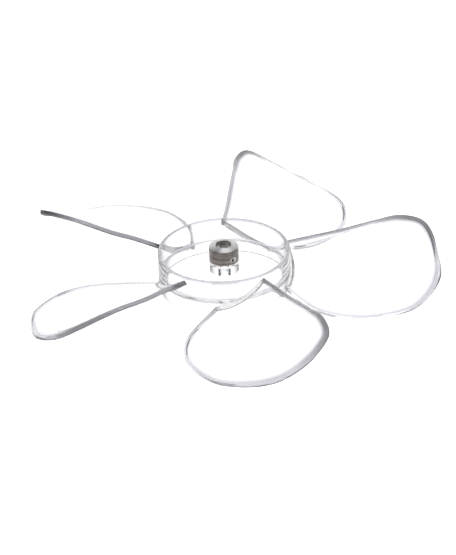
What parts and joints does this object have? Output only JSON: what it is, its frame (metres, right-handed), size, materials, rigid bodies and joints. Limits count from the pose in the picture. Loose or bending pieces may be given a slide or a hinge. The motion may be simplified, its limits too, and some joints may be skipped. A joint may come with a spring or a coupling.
{
  "type": "fan impeller",
  "caption": "Clear moulded fan impeller: cup-shaped hub, broad pitched blades, and a steel collar with a radial set screw on the central boss.",
  "frame": {"origin": "on the axis of rotation, level with the floor of the hub's cup", "axes": "+Z along the axis of rotation, out of the cup, the way the air leaves; +X along blade_1"},
  "size_m": [0.3673, 0.3761, 0.0437],
  "materials": {
    "clear_plastic": "clear, polished",
    "collar_steel": "turned, slightly dull",
    "screw_steel": "blackened"
  },
  "bodies": {
    "impeller": {"hub_cup": "clear_plastic", "shaft_boss": "clear_plastic", "blade_1": "clear_plastic", "blade_2": "clear_plastic", "blade_3": "clear_plastic", "blade_4": "clear_plastic", "blade_5": "clear_plastic", "shaft_collar": "collar_steel"},
    "set_screw": {"set_screw": "screw_steel"}
  },
  "joints": [
    {"name": "set_screw_travel", "type": "slide", "parent": "impeller", "child": "set_screw", "axis": [0.6157, -0.788, 0], "range_m": [-0.0009, 0.0026]}
  ]
}
